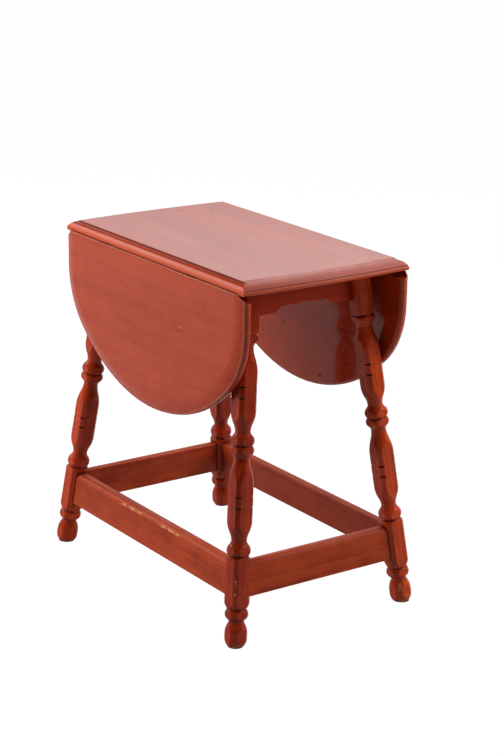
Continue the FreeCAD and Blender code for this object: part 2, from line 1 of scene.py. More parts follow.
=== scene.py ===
import bpy
import json
import math
from mathutils import Matrix, Vector

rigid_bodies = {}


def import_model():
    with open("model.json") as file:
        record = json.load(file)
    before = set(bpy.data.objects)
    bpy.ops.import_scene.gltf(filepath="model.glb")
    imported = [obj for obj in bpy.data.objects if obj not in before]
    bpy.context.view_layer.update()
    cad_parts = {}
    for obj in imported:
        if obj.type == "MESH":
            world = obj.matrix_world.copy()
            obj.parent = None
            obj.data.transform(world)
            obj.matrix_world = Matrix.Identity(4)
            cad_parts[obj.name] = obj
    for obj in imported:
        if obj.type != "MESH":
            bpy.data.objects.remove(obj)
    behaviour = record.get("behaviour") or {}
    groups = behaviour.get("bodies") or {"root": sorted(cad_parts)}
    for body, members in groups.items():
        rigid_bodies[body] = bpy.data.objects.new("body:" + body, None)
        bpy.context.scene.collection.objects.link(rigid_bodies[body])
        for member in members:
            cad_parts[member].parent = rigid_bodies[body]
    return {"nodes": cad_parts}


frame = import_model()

for spare in [o for o in bpy.data.objects if o.name in ("Cube", "Light", "Camera")]:
    bpy.data.objects.remove(spare)
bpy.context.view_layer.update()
scene = bpy.context.scene
scene.view_settings.view_transform = "Standard"
print("frame loaded:", len(frame["nodes"]), "nodes")


# small helpers for node trees
def feed(tree, socket, value):
    if isinstance(value, bpy.types.NodeSocket):
        tree.links.new(value, socket)
    elif socket.type == "RGBA" and len(value) == 3:
        socket.default_value = (*value, 1.0)
    else:
        socket.default_value = value


def put(tree, kind, values=None, **settings):
    node = tree.nodes.new("ShaderNode" + kind)
    for name, setting in settings.items():
        setattr(node, name, setting)
    for name, value in (values or {}).items():
        feed(tree, node.inputs[name], value)
    return node


def maths(tree, operation, *values):
    return put(tree, "Math", dict(enumerate(values)), operation=operation).outputs[0]


def vectorMaths(tree, operation, *values):
    node = put(tree, "VectorMath", dict(enumerate(values)), operation=operation)
    return node.outputs["Value" if operation in ("DOT_PRODUCT", "LENGTH") else "Vector"]


def ramp(tree, value, low, high, start=0.0, end=1.0):
    ends = {"Value": value, "From Min": low, "From Max": high, "To Min": start, "To Max": end}
    return put(tree, "MapRange", ends, interpolation_type="SMOOTHSTEP").outputs["Result"]


def mixColour(tree, share, first, second, blend="MIX"):
    node = put(tree, "Mix", data_type="RGBA", blend_type=blend)
    for place, value in ((0, share), (6, first), (7, second)):
        feed(tree, node.inputs[place], value)
    return node.outputs[2]


def noise(tree, vector, stretch, detail=2.0, roughness=0.5):
    spread = vectorMaths(tree, "MULTIPLY", vector, stretch)
    return put(tree, "TexNoise", {"Vector": spread, "Scale": 1.0, "Detail": detail,
                                  "Roughness": roughness}).outputs


# a noise value moved so that its middle is zero
def swing(tree, value):
    return maths(tree, "SUBTRACT", value, 0.5)


def startGroup(name, takes, gives):
    tree = bpy.data.node_groups.new(name, "ShaderNodeTree")
    for title, kind, value in takes:
        socket = tree.interface.new_socket(title, in_out="INPUT", socket_type="NodeSocket" + kind)
        socket.default_value = value
    for title, kind in gives:
        tree.interface.new_socket(title, in_out="OUTPUT", socket_type="NodeSocket" + kind)
    return tree, tree.nodes.new("NodeGroupInput").outputs, tree.nodes.new("NodeGroupOutput").inputs


# wood figure: growth rings round a pith line, broad tone, streaks and fine pores, grain along local x
# a triple is how often a noise repeats along and across the grain, a pair is where a mask starts and ends
figureShape = {
    "wander": (2.2, 14, 14), "sway": (0, 0.022, 0.022), "lateWood": 2.2, "broad": (1.6, 19, 19),
    "broadShare": 1.1, "middleTone": 0.6, "streak": (4.5, 150, 150), "fine": (22, 620, 620),
    "fineRelief": 0.35, "pore": (70, 1150, 1150), "poreCut": (0.6, 0.72), "flame": (85, 6, 6),
    "figured": (6, 8, 8), "figuredCut": (0.42, 0.62), "cloud": (20, 34, 34)}


def makeWoodFigure(shape):
    tree, takes, gives = startGroup(
        "woodFigure",
        [("Vector", "Vector", (0, 0, 0)), ("Pith", "Vector", (0, 0, 0)), ("Pale", "Color", (1, 1, 1, 1)),
         ("Deep", "Color", (0, 0, 0, 1)), ("Ring Width", "Float", 0.008), ("Rings", "Float", 0.3),
         ("Streaks", "Float", 0.3), ("Pores", "Float", 0.3), ("Flame", "Float", 0.2),
         ("Cloud", "Float", 0.3)],
        [("Color", "Color"), ("Height", "Float")])
    place = takes["Vector"]
    wander = noise(tree, place, shape["wander"])["Color"]
    wander = vectorMaths(tree, "SUBTRACT", wander, (0.5, 0.5, 0.5))
    shift = vectorMaths(tree, "MULTIPLY", wander, shape["sway"])
    fromPith = vectorMaths(tree, "SUBTRACT", vectorMaths(tree, "ADD", place, shift), takes["Pith"])
    away = vectorMaths(tree, "LENGTH", vectorMaths(tree, "MULTIPLY", fromPith, (0, 1, 1)))
    turns = maths(tree, "DIVIDE", away, takes["Ring Width"])
    late = maths(tree, "POWER", maths(tree, "FRACT", turns), shape["lateWood"])
    broad = noise(tree, place, shape["broad"], 3.0, 0.55)["Fac"]
    streak = noise(tree, place, shape["streak"], 3.0, 0.6)["Fac"]
    fine = noise(tree, place, shape["fine"], 2.0, 0.6)["Fac"]
    pore = ramp(tree, noise(tree, place, shape["pore"], 1.0)["Fac"], *shape["poreCut"])
    flame = noise(tree, place, shape["flame"], 2.0, 0.55)["Fac"]
    figured = ramp(tree, noise(tree, place, shape["figured"])["Fac"], *shape["figuredCut"])
    cloud = noise(tree, place, shape["cloud"], 4.0, 0.6)["Fac"]
    tone = maths(tree, "MULTIPLY_ADD", swing(tree, broad), shape["broadShare"], shape["middleTone"])
    flame = maths(tree, "MULTIPLY", swing(tree, flame), figured)
    tone = maths(tree, "MULTIPLY_ADD", flame, takes["Flame"], tone)
    for part, title in ((cloud, "Cloud"), (streak, "Streaks"), (fine, "Streaks")):
        tone = maths(tree, "MULTIPLY_ADD", swing(tree, part), takes[title], tone)
    for part, title in ((late, "Rings"), (pore, "Pores")):
        tone = maths(tree, "SUBTRACT", tone, maths(tree, "MULTIPLY", part, takes[title]))
    share = ramp(tree, tone, 0.0, 1.0)
    height = maths(tree, "SUBTRACT", maths(tree, "MULTIPLY", fine, shape["fineRelief"]), pore)
    tree.links.new(mixColour(tree, share, takes["Deep"], takes["Pale"]), gives["Color"])
    tree.links.new(height, gives["Height"])
    return tree


# where hands and cleaning rub an arris: bevelled normal against the flat one, broken up by noise. On wood the
# lighter rub colour is also a painted highlight along the arrises
rubShape = {"patch": (55, 190, 190), "cut": 0.75, "cutShare": 0.5, "soft": 0.14, "turn": (0.01, 0.12)}


def makeEdgeRubAndGlint(shape):
    tree, takes, gives = startGroup(
        "edgeRub",
        [("Vector", "Vector", (0, 0, 0)), ("Width", "Float", 0.001), ("Reach", "Float", 0.5)],
        [("Mask", "Float"), ("Normal", "Vector")])
    soft = put(tree, "Bevel", {"Radius": takes["Width"]}, samples=4).outputs["Normal"]
    flat = put(tree, "NewGeometry").outputs["Normal"]
    turn = maths(tree, "SUBTRACT", 1.0, vectorMaths(tree, "DOT_PRODUCT", soft, flat))
    patch = noise(tree, takes["Vector"], shape["patch"], 4.0, 0.65)["Fac"]
    cut = maths(tree, "SUBTRACT", shape["cut"], maths(tree, "MULTIPLY", takes["Reach"], shape["cutShare"]))
    low = maths(tree, "SUBTRACT", cut, shape["soft"])
    high = maths(tree, "ADD", cut, shape["soft"])
    broken = ramp(tree, patch, low, high)
    tree.links.new(maths(tree, "MULTIPLY", ramp(tree, turn, *shape["turn"]), broken), gives["Mask"])
    tree.links.new(soft, gives["Normal"])
    return tree


# old wax that settles in grooves and inner corners, and painted shade: ambient occlusion darkens the hollows,
# corners and gaps between parts
waxAndShadeShape = {"patch": (30, 90, 90), "uneven": (0.2, 0.6, 0.7, 1.0), "maskOpen": (0.93, 0.55),
              "glazeOpen": (0.98, 0.6), "glazeDepth": 6.0}


def makeGrooveWaxAndShade(shape):
    tree, takes, gives = startGroup(
        "grooveStain",
        [("Vector", "Vector", (0, 0, 0)), ("Depth", "Float", 0.004), ("Amount", "Float", 0.7)],
        [("Mask", "Float"), ("Glaze", "Float")])
    uneven = ramp(tree, noise(tree, takes["Vector"], shape["patch"], 3.0)["Fac"], *shape["uneven"])
    wide = maths(tree, "MULTIPLY", takes["Depth"], shape["glazeDepth"])
    for title, distance, ends in (("Mask", takes["Depth"], shape["maskOpen"]),
                                  ("Glaze", wide, shape["glazeOpen"])):
        hollow = put(tree, "AmbientOcclusion", {"Distance": distance}, samples=4,
                     only_local=title == "Glaze")
        held = maths(tree, "MULTIPLY", ramp(tree, hollow.outputs["AO"], *ends), uneven)
        tree.links.new(maths(tree, "MULTIPLY", held, takes["Amount"]), gives[title])
    return tree


# a dark line along each nick across the chamfered corners of a leg
nickShape = {"band": (0.55, 0.3), "corner": (0.5, 0.62)}


def makeNickLine(shape):
    tree, takes, gives = startGroup(
        "nickLine",
        [("Vector", "Vector", (0, 0, 0)), ("Foot", "Vector", (0, 0, 0)), ("Along", "Vector", (0, 0, 1)),
         ("Across", "Vector", (1, 0, 0)), ("Height", "Float", 0.2), ("Width", "Float", 0.003)],
        [("Mask", "Float")])
    local = vectorMaths(tree, "SUBTRACT", takes["Vector"], takes["Foot"])
    third = vectorMaths(tree, "CROSS_PRODUCT", takes["Along"], takes["Across"])
    rise = vectorMaths(tree, "DOT_PRODUCT", local, takes["Along"])
    out, other = (maths(tree, "ABSOLUTE", vectorMaths(tree, "DOT_PRODUCT", local, axis))
                  for axis in (takes["Across"], third))
    away = maths(tree, "ABSOLUTE", maths(tree, "SUBTRACT", rise, takes["Height"]))
    band = ramp(tree, maths(tree, "DIVIDE", away, takes["Width"]), *shape["band"])
    low = maths(tree, "MINIMUM", out, other)
    high = maths(tree, "MAXIMUM", out, other)
    corner = ramp(tree, maths(tree, "DIVIDE", low, high), *shape["corner"])
    tree.links.new(maths(tree, "MULTIPLY", band, corner), gives["Mask"])
    return tree


# thin places in the finish, worn to a lighter tone
thinShape = {"cloud": (26, 70, 70), "cut": 0.72, "cutShare": 0.3, "soft": 0.16, "speck": (160, 420, 420),
             "speckCut": (0.66, 0.74)}


def makeThinFinish(shape):
    tree, takes, gives = startGroup(
        "thinFinish",
        [("Vector", "Vector", (0, 0, 0)), ("Reach", "Float", 0.3), ("Scale", "Float", 1.0)],
        [("Mask", "Float"), ("Fleck", "Float")])
    place = vectorMaths(tree, "SCALE", takes["Vector"])
    tree.links.new(takes["Scale"], place.node.inputs["Scale"])
    cloud = noise(tree, place, shape["cloud"], 5.0, 0.62)["Fac"]
    cut = maths(tree, "SUBTRACT", shape["cut"], maths(tree, "MULTIPLY", takes["Reach"], shape["cutShare"]))
    worn = ramp(tree, cloud, cut, maths(tree, "ADD", cut, shape["soft"]))
    speck = noise(tree, place, shape["speck"], 3.0, 0.6)["Fac"]
    tree.links.new(worn, gives["Mask"])
    tree.links.new(ramp(tree, speck, *shape["speckCut"]), gives["Fleck"])
    return tree


# old lacquer: smudged gloss, faint brush lines and a little unevenness
filmShape = {"smear": (9, 26, 26), "smearShare": 1.4, "lines": (6, 420, 420), "lineRelief": 0.25,
             "peel": (60, 160, 160)}


def makeLacquerFilm(shape):
    tree, takes, gives = startGroup(
        "lacquerFilm",
        [("Vector", "Vector", (0, 0, 0)), ("Gloss", "Float", 0.3), ("Smudge", "Float", 0.12)],
        [("Roughness", "Float"), ("Height", "Float")])
    smear = noise(tree, takes["Vector"], shape["smear"], 4.0, 0.6)["Fac"]
    lines = noise(tree, takes["Vector"], shape["lines"])["Fac"]
    peel = noise(tree, takes["Vector"], shape["peel"])["Fac"]
    uneven = maths(tree, "MULTIPLY_ADD", swing(tree, smear), shape["smearShare"], swing(tree, lines))
    rough = maths(tree, "MULTIPLY_ADD", uneven, takes["Smudge"], takes["Gloss"])
    tree.links.new(rough, gives["Roughness"])
    tree.links.new(maths(tree, "MULTIPLY_ADD", lines, shape["lineRelief"], peel), gives["Height"])
    return tree


# one local mark with ragged edges, such as a chip, dent or speck
spotShape = {"torn": (300, 420, 620), "tornShare": 4.0, "edge": (1.0, 0.75)}


def makeSpotMark(shape):
    tree, takes, gives = startGroup(
        "spotMark",
        [("Vector", "Vector", (0, 0, 0)), ("Centre", "Vector", (0, 0, 0)),
         ("Size", "Vector", (0.01, 0.01, 0.01)), ("Ragged", "Float", 0.5)],
        [("Mask", "Float")])
    local = vectorMaths(tree, "SUBTRACT", takes["Vector"], takes["Centre"])
    away = vectorMaths(tree, "LENGTH", vectorMaths(tree, "DIVIDE", local, takes["Size"]))
    torn = noise(tree, takes["Vector"], shape["torn"], 5.0, 0.7)["Fac"]
    tear = maths(tree, "MULTIPLY", takes["Ragged"], shape["tornShare"])
    edge = maths(tree, "MULTIPLY_ADD", swing(tree, torn), tear, away)
    tree.links.new(ramp(tree, edge, *shape["edge"]), gives["Mask"])
    return tree


# brushed, tarnished hardware: draw lines, brown bloom and worn bright spots
bloomShape = {"cloud": (130, 130, 130), "cover": (0.35, 0.68), "coverRough": 0.3, "lines": (40, 1600, 1600),
              "lineRough": 0.15, "cloudRelief": 0.5}


def makeMetalBloom(shape):
    tree, takes, gives = startGroup(
        "metalBloom",
        [("Vector", "Vector", (0, 0, 0)), ("Bright", "Color", (1, 1, 1, 1)), ("Bloom", "Color", (0, 0, 0, 1)),
         ("Amount", "Float", 0.5), ("Gloss", "Float", 0.35)],
        [("Color", "Color"), ("Roughness", "Float"), ("Height", "Float")])
    cloud = noise(tree, takes["Vector"], shape["cloud"], 5.0, 0.65)["Fac"]
    lines = noise(tree, takes["Vector"], shape["lines"])["Fac"]
    cover = maths(tree, "MULTIPLY", ramp(tree, cloud, *shape["cover"]), takes["Amount"])
    rough = maths(tree, "MULTIPLY_ADD", cover, shape["coverRough"], takes["Gloss"])
    rough = maths(tree, "MULTIPLY_ADD", swing(tree, lines), shape["lineRough"], rough)
    tree.links.new(mixColour(tree, cover, takes["Bright"], takes["Bloom"]), gives["Color"])
    tree.links.new(rough, gives["Roughness"])
    tree.links.new(maths(tree, "MULTIPLY_ADD", cloud, shape["cloudRelief"], lines), gives["Height"])
    return tree


woodFigure = makeWoodFigure(figureShape)
edgeRub = makeEdgeRubAndGlint(rubShape)
grooveStain = makeGrooveWaxAndShade(waxAndShadeShape)
lacquerFilm = makeLacquerFilm(filmShape)
spotMark = makeSpotMark(spotShape)
metalBloom = makeMetalBloom(bloomShape)
nickLine = makeNickLine(nickShape)
thinFinish = makeThinFinish(thinShape)
print("shader groups made:", len(bpy.data.node_groups))


# position in the piece turned so that local x runs along its grain
def grainSpace(tree, along, offset):
    position = put(tree, "TexCoord").outputs["Object"]
    lengthwise = Vector(along).normalized()
    sideways = lengthwise.cross(Vector((0.0, 0.0, 1.0)))
    if sideways.length < 0.5:
        sideways = lengthwise.cross(Vector((0.0, 1.0, 0.0)))
    sideways.normalize()
    upwards = sideways.cross(lengthwise)
    parts = [vectorMaths(tree, "DOT_PRODUCT", position, axis) for axis in (lengthwise, sideways, upwards)]
    turned = put(tree, "CombineXYZ", dict(enumerate(parts))).outputs["Vector"]
    return position, vectorMaths(tree, "ADD", turned, offset)


def useGroup(tree, group, values):
    return put(tree, "Group", values, node_tree=group).outputs


def startFinish(name):
    material = bpy.data.materials.new(name)
    material.use_nodes = True
    return material, material.node_tree, material.node_tree.nodes["Principled BSDF"]


def finishSurface(tree, shader, colour, rough, bump):
    feed(tree, shader.inputs["Base Color"], colour)
    feed(tree, shader.inputs["Roughness"], rough)
    feed(tree, shader.inputs["Normal"], bump.outputs["Normal"])


# stained and lacquered wood; marks are (centre, size, colour, ragged, dent)
woodShare = {"mouldFacing": (0.9, 0.55), "moulded": 0.75, "rubRough": 0.1, "waxRough": 0.3, "markRough": 0.25,
             "bumpDepth": 0.0004}


def woodFinish(name, look, along, offset=(0, 0, 0), marks=(), nicks=None):
    material, tree, shader = startFinish(name)
    position, grain = grainSpace(tree, along, offset)
    figure = useGroup(tree, woodFigure, {
        "Vector": grain, "Pith": look["pith"], "Pale": look["pale"], "Deep": look["deep"],
        "Ring Width": look["ringWidth"], "Rings": look["rings"], "Streaks": look["streaks"],
        "Pores": look["pores"], "Flame": look["flame"], "Cloud": look["cloud"]})
    rub = useGroup(tree, edgeRub, {"Vector": grain, "Width": look["rubWidth"], "Reach": look["rubReach"]})
    stain = useGroup(tree, grooveStain, {
        "Vector": grain, "Depth": look["stainDepth"], "Amount": look["stain"]})
    film = useGroup(tree, lacquerFilm, {"Vector": grain, "Gloss": look["gloss"], "Smudge": look["smudge"]})
    thin = useGroup(tree, thinFinish, {"Vector": grain, "Reach": look["thinReach"]})
    worn = maths(tree, "MULTIPLY", thin["Mask"], look["thin"])
    colour = mixColour(tree, worn, figure["Color"], look["thinColour"])
    rough = maths(tree, "MULTIPLY_ADD", rub["Mask"], woodShare["rubRough"], film["Roughness"])
    rough = maths(tree, "MULTIPLY_ADD", stain["Mask"], woodShare["waxRough"], rough)  # old wax is matt
    if "mouldRough" in look:  # moulded edges, handled to a thinner and duller film; their colour is a painted highlight, lighter and more orange where the faces turn away from the top
        upward = vectorMaths(tree, "DOT_PRODUCT", put(tree, "TexCoord").outputs["Normal"], (0, 0, 1))
        moulded = ramp(tree, upward, *woodShare["mouldFacing"])
        mouldHighlight = maths(tree, "MULTIPLY", moulded, woodShare["moulded"])
        colour = mixColour(tree, mouldHighlight, colour, look["mouldColour"])
        rough = maths(tree, "MULTIPLY_ADD", moulded, look["mouldRough"], rough)
    # painted shade: the glaze and the groove mask darken hollows, inner corners and the gaps between parts,
    # together with old wax; the flecks are real dark specks
    glazedShade = maths(tree, "MULTIPLY", stain["Glaze"], look["glaze"])
    flecked = maths(tree, "MULTIPLY", thin["Fleck"], look["flecks"])
    for mask in (glazedShade, stain["Mask"], flecked):
        colour = mixColour(tree, mask, colour, look["stainColour"])
    colour = mixColour(tree, maths(tree, "MULTIPLY", rub["Mask"], look["rub"]), colour, look["rubColour"])
    height = maths(tree, "MULTIPLY_ADD", figure["Height"], look["grainRelief"], film["Height"])
    for centre, size, markColour, ragged, dent in marks:
        spot = useGroup(tree, spotMark, {
            "Vector": position, "Centre": centre, "Size": size, "Ragged": ragged})
        colour = mixColour(tree, spot["Mask"], colour, markColour)
        height = maths(tree, "MULTIPLY_ADD", spot["Mask"], -dent, height)
        rough = maths(tree, "MULTIPLY_ADD", spot["Mask"], woodShare["markRough"], rough)
    for rise in nicks["heights"] if nicks else ():
        line = useGroup(tree, nickLine, {
            "Vector": position, "Foot": nicks["foot"], "Along": nicks["along"], "Across": nicks["across"],
            "Height": rise, "Width": nicks["width"]})
        colour = mixColour(tree, line["Mask"], colour, darkSpeck)
    bump = put(tree, "Bump", {"Strength": look["relief"], "Distance": woodShare["bumpDepth"],
                              "Height": height, "Normal": rub["Normal"]})
    finishSurface(tree, shader, colour, rough, bump)
    shader.inputs["IOR"].default_value = look["ior"]
    return material


def metalFinish(name, look, along):
    material, tree, shader = startFinish(name)
    grain = grainSpace(tree, along, (0, 0, 0))[1]
    bloom = useGroup(tree, metalBloom, {
        "Vector": grain, "Bright": look["bright"], "Bloom": look["bloom"], "Amount": look["amount"],
        "Gloss": look["gloss"]})
    rub = useGroup(tree, edgeRub, {"Vector": grain, "Width": look["rubWidth"], "Reach": look["rubReach"]})
    colour = mixColour(tree, rub["Mask"], bloom["Color"], look["rubColour"])
    bump = put(tree, "Bump", {"Strength": look["relief"], "Distance": look["bumpDepth"],
                              "Height": bloom["Height"], "Normal": rub["Normal"]})
    finishSurface(tree, shader, colour, bloom["Roughness"], bump)
    shader.inputs["Metallic"].default_value = 1.0
    return material


def dress(name, material):
    piece = frame["nodes"][name]
    if not piece.material_slots:
        piece.data.materials.append(material)
    for place in piece.material_slots:
        place.material = material


# rails and inner pieces are sawn and planed, so their arrises are eased by a fine bevel
easeLook = {"weld": 0.00001, "rounds": 3, "sharpest": 35, "evenness": 80}


def easeEdges(name, width):
    piece = frame["nodes"][name]
    weld = piece.modifiers.new("joinFaces", "WELD")
    weld.merge_threshold = easeLook["weld"]
    ease = piece.modifiers.new("easedArris", "BEVEL")
    ease.width = width
    ease.segments = easeLook["rounds"]
    ease.limit_method = "ANGLE"
    ease.angle_limit = math.radians(easeLook["sharpest"])
    ease.use_clamp_overlap = True
    even = piece.modifiers.new("evenShade", "WEIGHTED_NORMAL")
    even.keep_sharp = False
    even.weight = easeLook["evenness"]


# moves the grain of mirrored pieces apart, so that no two show the same figure
def mirrored(shift, *signs):
    return tuple(part * sign for part, sign in zip(shift, signs))


sidesX = {"left": -1, "right": 1}
sidesY = {"front": -1, "back": 1}
alongX, alongY, upright = (1, 0, 0), (0, 1, 0), (0, 0, 1)
darkSpeck = (0.05, 0.006, 0.003)

# centre board, polished on top
topLook = {
    "pale": (0.45, 0.044, 0.0095), "deep": (0.32, 0.026, 0.005), "pith": (0, 0.05, 0.47), "ringWidth": 0.009,
    "rings": 0.22, "streaks": 0.4, "pores": 0.03, "rubWidth": 0.0012, "rubReach": 0.7, "rub": 0.55,
    "rubColour": (0.6, 0.17, 0.08), "stainDepth": 0.004, "stain": 0.4, "stainColour": (0.13, 0.011, 0.004),
    "gloss": 0.2, "smudge": 0.07, "grainRelief": 0.25, "relief": 0.12, "ior": 1.42, "flame": 0.12,
    "cloud": 0.3, "thin": 0.25, "thinReach": 0.3, "thinColour": (0.56, 0.075, 0.02), "glaze": 0.35,
    "flecks": 0.02}
topMarks = [
    ((-0.2005, 0.0929, 0.6), (0.004, 0.003, 0.004), darkSpeck, 0.35, 1.5),
    ((-0.229, 0.0454, 0.6), (0.003, 0.003, 0.004), darkSpeck, 0.35, 1.5)]
boardShift = (0.31, 0.12, 0.0)
# painted highlight on the moulded edges; the strong groove wax here is mostly painted shade in the fillet's
# quirk and along the joint with the leaf
boardLook = dict(topLook, mouldRough=0.22, mouldColour=(0.64, 0.082, 0.017), stain=1.4, stainDepth=0.006,
                 stainColour=(0.07, 0.005, 0.002), glaze=0.3)
dress("centre_top", woodFinish("topWood", boardLook, alongX, boardShift, topMarks))
print("centre board finished")

# drop leaves, boards of the same tree
# painted light: the leaves are coloured paler than the centre board of the same finish, and their bright rub
# along the arrises is partly wear and partly a painted highlight
leafLook = dict(
    topLook, pale=(0.51, 0.055, 0.0135), deep=(0.35, 0.031, 0.0075), pith=(0, 0.07, 0.4), ringWidth=0.011,
    ior=1.36, flame=0.55, cloud=0.6, thin=0.3, thinColour=(0.62, 0.085, 0.022), rub=1.0, rubReach=1.7,
    rubWidth=0.0015, rubColour=(0.9, 0.4, 0.23), stain=0.2)
leafShift = (0.9, 0.21, 0.06)
leafGloss = {"front": {"gloss": 0.12, "smudge": 0.06}, "back": {"gloss": 0.05, "smudge": 0.03}}
leafMarks = {
    "front": [((0.0875, -0.1663, 0.4853), (0.009, 0.003, 0.0016), (0.2, 0.02, 0.008), 0.4, 1.5),
              ((0.0975, -0.1663, 0.4915), (0.005, 0.003, 0.0012), (0.55, 0.16, 0.1), 0.4, 1.0)],
    "back": [((-0.0515, 0.1478, 0.4194), (0.0035, 0.003, 0.0035), darkSpeck, 0.3, 2.0),
             ((0.0598, 0.1478, 0.3502), (0.006, 0.003, 0.003), darkSpeck, 0.4, 1.0)]}
for side, sign in sidesY.items():
    offset = mirrored(leafShift, sign, sign, sign)
    look = dict(leafLook, **leafGloss[side])
    dress("leaf_" + side, woodFinish("leafWood_" + side, look, alongX, offset, leafMarks[side]))
print("leaves finished")

# turned legs, grain along each splayed axis
# the strong groove wax and glaze on the legs are partly painted shade in the turned hollows
legLook = dict(
    topLook, pale=(0.33, 0.031, 0.006), deep=(0.15, 0.0105, 0.002), pith=(0, 0.11, 0.03), ringWidth=0.006,
    rubWidth=0.0013, rubReach=0.8, rub=0.6, rubColour=(0.5, 0.13, 0.055), stainDepth=0.004, stain=0.95,
    stainColour=(0.03, 0.003, 0.001), gloss=0.18, ior=1.3, streaks=0.6, cloud=1.0, flame=0.3, thin=0.6,
    thinReach=0.45, thinColour=(0.42, 0.07, 0.012), glaze=0.65, flecks=0.3)
# painted light and shade: each leg's colours are scaled lighter or darker to match how bright that leg shows
# where it stands
paintedLegLight = {"front_right": (1.38, 1.2, 1.05), "back_right": (1.95, 2.12, 1.6), "front_left": (1.85, 1.7, 1.35),
           "back_left": (1.2, 0.9, 0.7)}
splay = {"x": math.radians(7.0), "y": math.radians(6.3)}
footSpread = (0.275, 0.17235)
legShiftX, legShiftY = (0.37, 0.05, 0.0), (0.19, 0.0, 0.04)
wornSpot, paleSpot, scuff = (0.5, 0.17, 0.07), (0.6, 0.25, 0.18), (0.4, 0.16, 0.06)
legMarks = {
    "front_right": [((0.2754, -0.1741, 0.112), (0.002, 0.002, 0.0018), paleSpot, 0.6, 1.0),
                    ((0.2779, -0.1764, 0.091), (0.0022, 0.0022, 0.0022), paleSpot, 0.6, 1.0),
                    ((0.2906, -0.1734, 0.0045), (0.008, 0.008, 0.0018), wornSpot, 0.6, 1.0)],
    "back_right": [((0.2866, 0.1584, 0.03), (0.004, 0.004, 0.0075), wornSpot, 0.6, 1.0),
                   ((0.2917, 0.1739, 0.014), (0.006, 0.006, 0.0022), wornSpot, 0.6, 1.0)]}
nickLook = {"heights": (0.2292, 0.2472, 0.4078, 0.426), "width": 0.0034}
for sideY, signY in sidesY.items():
    for sideX, signX in sidesX.items():
        corner = sideY + "_" + sideX
        along = (-signX * math.tan(splay["x"]), -signY * math.tan(splay["y"]), 1.0)
        offset = tuple(x * signX + y * signY for x, y in zip(legShiftX, legShiftY))
        foot = Vector((footSpread[0] * signX, footSpread[1] * signY, 0.0))
        outer = foot + Vector((0.011 * signX, -0.008, 0.002))
        inner = foot + Vector((-0.01, 0.009 * signY, 0.003))
        footMarks = [(outer, (0.008, 0.008, 0.0035), scuff, 0.5, 1.0),
                     (inner, (0.006, 0.007, 0.004), scuff, 0.5, 1.0)]
        footMarks += legMarks.get(corner, [])
        # this leg's painted light scale
        tone = paintedLegLight[corner]
        legLitLook = dict(legLook)
        for shade in ("pale", "deep", "thinColour"):
            legLitLook[shade] = [part * share for part, share in zip(legLook[shade], tone)]
        axis = Vector(along).normalized()
        across = Vector(upright).rotation_difference(axis) @ Vector(alongX)
        nicks = dict(nickLook, foot=foot, along=axis, across=across)
        dress("leg_" + corner, woodFinish("legWood_" + corner, legLitLook, along, offset, footMarks, nicks))
print("legs finished")

# low stretchers, knocked by feet, and aprons under the top
stretcherLook = dict(
    topLook, pale=(0.51, 0.062, 0.0125), deep=(0.27, 0.024, 0.005), pith=(0, 0.03, 0.2), ringWidth=0.007,
    rub=0.6, rubReach=0.6, stain=0.6, gloss=0.45, ease=0.0011, ior=1.3, streaks=0.65, cloud=1.0, flame=0.3,
    thin=0.45, thinColour=(0.54, 0.09, 0.017), flecks=0.45)
# painted shade: the back stretcher, seen from inside under the table, is coloured darker than the front one
sideStretcherShade = {"front": {"pale": (0.5, 0.062, 0.0125)},
                     "back": {"pale": (0.37, 0.043, 0.009), "deep": (0.19, 0.016, 0.0035)}}
chipColour = (0.66, 0.29, 0.1)
chips = ((-0.076, 0.01), (-0.052, 0.014), (-0.028, 0.007), (0.05, 0.008), (0.072, 0.014), (0.092, 0.006))
stretcherMarks = [((x, -0.168, 0.1306), (reachX, 0.006, 0.002), chipColour, 1.3, 2.0) for x, reachX in chips]
stretcherMarks.append(((0.157, -0.1737, 0.0792), (0.004, 0.006, 0.0022), darkSpeck, 0.4, 3.0))
# painted light: the aprons are coloured lighter than the top to make up for the shade under the top
apronLook = dict(
    topLook, pale=(0.52, 0.04, 0.0055), deep=(0.35, 0.022, 0.003), pith=(0, 0.05, 0.3), ringWidth=0.007,
    rub=0.35, gloss=0.35, ease=0.0008, ior=1.28, cloud=0.5)
railShift = {"sideStretcher": (0.4, 0.1, 0.02), "sideApron": (0.7, 0.2, 0.1),
             "endStretcher": (0.55, 0.14, 0.05), "endApron": (0.2, 0.3, 0.1)}


def dressRail(name, finish, look, along, shift, marks=()):
    dress(name, woodFinish(finish, look, along, shift, marks))
    easeEdges(name, look["ease"])


for side, sign in sidesY.items():
    marks = stretcherMarks if side == "front" else []
    look = dict(stretcherLook, **sideStretcherShade[side])
    shift = mirrored(railShift["sideStretcher"], sign, sign, 1)
    dressRail("side_stretcher_" + side, "stretcherWood_" + side, look, alongX, shift, marks)
    shift = mirrored(railShift["sideApron"], sign, 1, 1)
    dressRail("side_apron_" + side, "apronWood_" + side, apronLook, alongX, shift)
for side, sign in sidesX.items():
    shift = mirrored(railShift["endStretcher"], sign, sign, 1)
    dressRail("end_stretcher_" + side, "stretcherWood_" + side, stretcherLook, alongY, shift)
    shift = mirrored(railShift["endApron"], sign, 1, 1)
    dressRail("end_apron_" + side, "apronWood_" + side, apronLook, alongY, shift)
print("rails finished")

